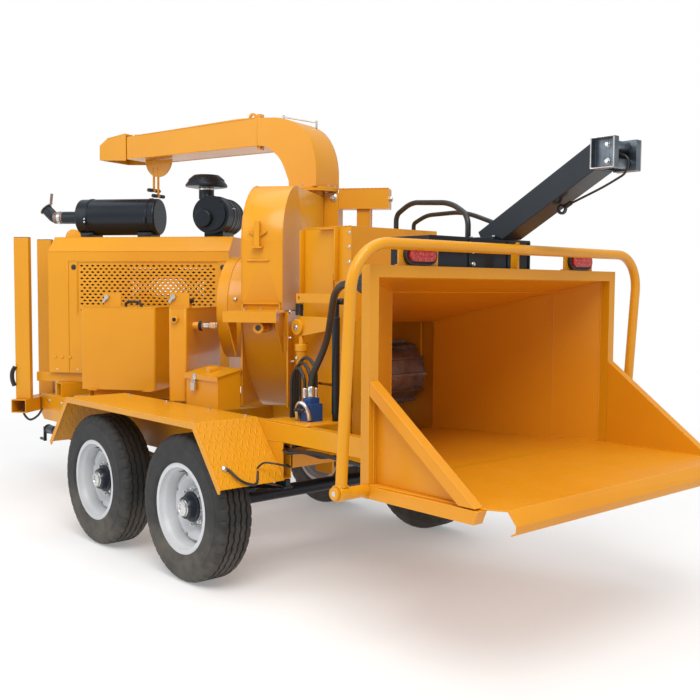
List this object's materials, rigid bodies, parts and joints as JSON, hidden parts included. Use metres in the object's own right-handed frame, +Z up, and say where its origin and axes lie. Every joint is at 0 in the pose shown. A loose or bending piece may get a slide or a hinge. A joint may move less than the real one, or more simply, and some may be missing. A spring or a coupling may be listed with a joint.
{
  "type": "towable wood chipper",
  "caption": "Towable twin-axle disc wood chipper with funnel infeed, slide-box feed rollers, belt-driven angled disc, swivelling discharge chute, engine enclosure, winch boom and tow eye.",
  "frame": {"origin": "on the ground, under the centre of the bounding box", "axes": "+Z up, +X towards the infeed tray (rear of the trailer), -X towards the tow eye, +Y towards the right-hand wheels"},
  "size_m": [5.7999, 2.12, 2.722],
  "materials": {
    "orange": "gloss",
    "black_paint": "satin",
    "zinc": "galvanised",
    "bare_steel": "worn bare steel",
    "wheel_silver": "satin silver paint",
    "tyre": "matt",
    "engine_iron": "painted casting",
    "rubber": "satin",
    "valve_blue": "satin",
    "lens_red": "clear gloss",
    "rope": "braided line"
  },
  "bodies": {
    "frame": {"air_cleaner": "black_paint", "axles": "black_paint", "belt_guard": "orange", "control_valve": "valve_blue", "disc_hood": "orange", "disc_housing": "orange", "drive_belts": "rubber", "engine_block": "engine_iron", "engine_enclosure": "orange", "fairlead_frame": "zinc", "feed_box": "orange", "fenders": "orange", "front_guard": "orange", "fuel_tank": "orange", "hopper": "orange", "hydraulic_lines": "rubber", "hydraulic_tank": "orange", "infeed_tray": "orange", "lamp_housings": "black_paint", "leaf_springs": "black_paint", "lift_cylinder": "black_paint", "mouth_frame": "orange", "muffler": "black_paint", "padlocks": "bare_steel", "side_grilles": "orange", "stowed_jack": "black_paint", "tail_lenses": "lens_red", "tongue": "orange", "toolbox": "orange", "top_beam": "orange", "trailer_frame": "orange", "winch_base": "black_paint", "winch_boom": "black_paint", "winch_line": "rope"},
    "feed_carriage": {"feed_carriage": "orange"},
    "upper_roller": {"upper_feed_roller": "bare_steel"},
    "lower_roller": {"lower_feed_roller": "bare_steel"},
    "disc_rotor": {"cutting_disc": "bare_steel", "disc_sheave": "bare_steel"},
    "engine_sheave": {"engine_sheave": "bare_steel"},
    "cooling_fan": {"cooling_fan": "bare_steel"},
    "chute": {"chute_elbow": "orange", "chute_spout": "orange", "chute_handle": "orange"},
    "deflector": {"chute_deflector": "orange"},
    "control_hoop": {"control_hoop": "orange"},
    "toolbox_lid": {"toolbox_lid": "orange"},
    "rain_cap": {"rain_cap": "bare_steel"},
    "jack_crank": {"jack_crank": "black_paint"},
    "height_lever": {"height_lever": "zinc"},
    "fairlead_top": {"fairlead_roller_top": "zinc"},
    "fairlead_bottom": {"fairlead_roller_bottom": "zinc"},
    "wheel_front_left": {"tyre_front_left": "tyre", "wheel_front_left": "wheel_silver"},
    "wheel_front_right": {"tyre_front_right": "tyre", "wheel_front_right": "wheel_silver"},
    "wheel_rear_left": {"tyre_rear_left": "tyre", "wheel_rear_left": "wheel_silver"},
    "wheel_rear_right": {"tyre_rear_right": "tyre", "wheel_rear_right": "wheel_silver"}
  },
  "joints": [
    {"name": "wheel_rear_left_spin", "type": "hinge", "parent": "frame", "child": "wheel_rear_left", "pos_m": [0.85, -0.854, 0.3835], "axis": [0, 1, 0], "continuous": true},
    {"name": "wheel_rear_right_spin", "type": "hinge", "parent": "frame", "child": "wheel_rear_right", "pos_m": [0.85, 0.854, 0.3835], "axis": [0, 1, 0], "continuous": true},
    {"name": "wheel_front_left_spin", "type": "hinge", "parent": "frame", "child": "wheel_front_left", "pos_m": [-0.105, -0.854, 0.3835], "axis": [0, 1, 0], "continuous": true},
    {"name": "wheel_front_right_spin", "type": "hinge", "parent": "frame", "child": "wheel_front_right", "pos_m": [-0.105, 0.854, 0.3835], "axis": [0, 1, 0], "continuous": true},
    {"name": "disc_spin", "type": "hinge", "parent": "frame", "child": "disc_rotor", "pos_m": [0.34741, 0.16846, 1.385], "axis": [0.7986, 0.6018, 0], "continuous": true},
    {"name": "engine_sheave_spin", "type": "hinge", "parent": "frame", "child": "engine_sheave", "pos_m": [-0.40356, 0.68316, 1.385], "axis": [0.7986, 0.6018, 0], "continuous": true},
    {"name": "fan_spin", "type": "hinge", "parent": "frame", "child": "cooling_fan", "pos_m": [-1.57357, -0.19851, 1.3], "axis": [0.7986, 0.6018, 0], "continuous": true},
    {"name": "carriage_lift", "type": "slide", "parent": "frame", "child": "feed_carriage", "axis": [0, 0, 1], "range_m": [0, 0.22]},
    {"name": "upper_roller_spin", "type": "hinge", "parent": "feed_carriage", "child": "upper_roller", "pos_m": [1.04, 0, 1.03], "axis": [0, 1, 0], "continuous": true},
    {"name": "lower_roller_spin", "type": "hinge", "parent": "frame", "child": "lower_roller", "pos_m": [1.04, 0, 0.61], "axis": [0, 1, 0], "continuous": true},
    {"name": "chute_swivel", "type": "hinge", "parent": "frame", "child": "chute", "pos_m": [0.09273, 0.55628, 2.182], "axis": [0, 0, 1], "range_deg": [-100, 60]},
    {"name": "deflector_tilt", "type": "hinge", "parent": "chute", "child": "deflector", "pos_m": [-1.35858, 0.08472, 2.631], "axis": [-0.309, 0.9511, 0], "range_deg": [-20, 60]},
    {"name": "hoop_swing", "type": "hinge", "parent": "frame", "child": "control_hoop", "pos_m": [2.185, 0, 0.7], "axis": [0, 1, 0], "range_deg": [0, 12]},
    {"name": "lid_open", "type": "hinge", "parent": "frame", "child": "toolbox_lid", "pos_m": [0.85, -0.401, 1.054], "axis": [-1, 0, 0], "range_deg": [0, 70]},
    {"name": "rain_cap_open", "type": "hinge", "parent": "frame", "child": "rain_cap", "pos_m": [-1.85509, -0.41065, 2.13965], "axis": [-0.6018, 0.7986, 0], "range_deg": [0, 60]},
    {"name": "jack_crank_turn", "type": "hinge", "parent": "frame", "child": "jack_crank", "pos_m": [-1.89, -0.44, 0.43], "axis": [1, 0, 0], "continuous": true},
    {"name": "lever_turn", "type": "hinge", "parent": "frame", "child": "height_lever", "pos_m": [1.362, -0.34, 0.838], "axis": [0, 0, 1], "range_deg": [-60, 30]},
    {"name": "fairlead_top_spin", "type": "hinge", "parent": "frame", "child": "fairlead_top", "pos_m": [2.69685, 0.1, 2.13777], "axis": [0, 1, 0], "continuous": true},
    {"name": "fairlead_bottom_spin", "type": "hinge", "parent": "frame", "child": "fairlead_bottom", "pos_m": [2.69685, 0.1, 2.06577], "axis": [0, 1, 0], "continuous": true}
  ],
  "couplings": [
    {"joint": "engine_sheave_spin", "follows": "disc_spin", "ratio": 2},
    {"joint": "fan_spin", "follows": "disc_spin", "ratio": 2}
  ]
}
